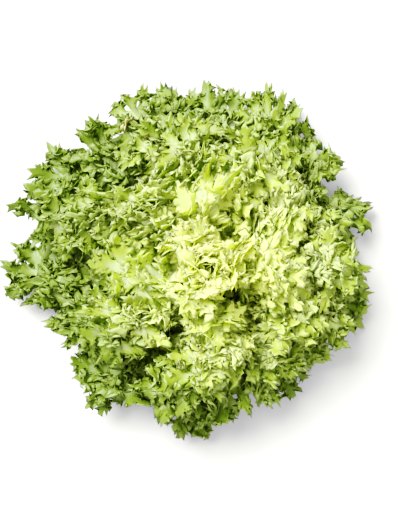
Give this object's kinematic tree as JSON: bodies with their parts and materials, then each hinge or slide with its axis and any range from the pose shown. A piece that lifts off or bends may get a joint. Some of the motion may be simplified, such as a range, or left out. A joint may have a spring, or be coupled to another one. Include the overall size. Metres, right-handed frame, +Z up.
{
  "type": "curly escarole head",
  "caption": "Cut head of curly escarole: whorls of frilled leaves spread in a low dome from a short stem stub with a flat cut face.",
  "frame": {"origin": "centre of the flat cut face under the stem", "axes": "+Z up through the heart, +X towards the right of the head as it is seen from above, +Y towards the top of that view"},
  "size_m": [0.3352, 0.3309, 0.118],
  "materials": {
    "stem": "moist fibrous stalk, satin, with a dry browned cut face",
    "outer_leaf": "fresh green leaf, satin",
    "middle_leaf": "fresh mid green leaf, satin",
    "inner_leaf": "tender yellow-green leaf, satin",
    "heart_leaf": "blanched pale yellow leaf, satin"
  },
  "bodies": {
    "root": {"stem": "stem", "outer_leaf_01": "outer_leaf", "outer_leaf_02": "outer_leaf", "outer_leaf_03": "outer_leaf", "outer_leaf_04": "outer_leaf", "outer_leaf_05": "outer_leaf", "outer_leaf_06": "outer_leaf", "outer_leaf_07": "outer_leaf", "outer_leaf_08": "outer_leaf", "outer_leaf_09": "outer_leaf", "outer_leaf_10": "outer_leaf", "outer_leaf_11": "outer_leaf", "outer_leaf_12": "outer_leaf", "outer_leaf_13": "outer_leaf", "outer_leaf_14": "outer_leaf", "outer_leaf_15": "outer_leaf", "outer_leaf_16": "outer_leaf", "outer_leaf_17": "outer_leaf", "middle_leaf_01": "middle_leaf", "middle_leaf_02": "middle_leaf", "middle_leaf_03": "middle_leaf", "middle_leaf_04": "middle_leaf", "middle_leaf_05": "middle_leaf", "middle_leaf_06": "middle_leaf", "middle_leaf_07": "middle_leaf", "middle_leaf_08": "middle_leaf", "middle_leaf_09": "middle_leaf", "middle_leaf_10": "middle_leaf", "middle_leaf_11": "middle_leaf", "middle_leaf_12": "middle_leaf", "middle_leaf_13": "middle_leaf", "middle_leaf_14": "middle_leaf", "middle_leaf_15": "middle_leaf", "inner_leaf_01": "inner_leaf", "inner_leaf_02": "inner_leaf", "inner_leaf_03": "inner_leaf", "inner_leaf_04": "inner_leaf", "inner_leaf_05": "inner_leaf", "inner_leaf_06": "inner_leaf", "inner_leaf_07": "inner_leaf", "inner_leaf_08": "inner_leaf", "inner_leaf_09": "inner_leaf", "inner_leaf_10": "inner_leaf", "inner_leaf_11": "inner_leaf", "heart_leaf_01": "heart_leaf", "heart_leaf_02": "heart_leaf", "heart_leaf_03": "heart_leaf", "heart_leaf_04": "heart_leaf", "heart_leaf_05": "heart_leaf", "heart_leaf_06": "heart_leaf", "heart_leaf_07": "heart_leaf", "heart_leaf_08": "heart_leaf", "heart_leaf_09": "heart_leaf", "heart_leaf_10": "heart_leaf"}
  },
  "joints": []
}
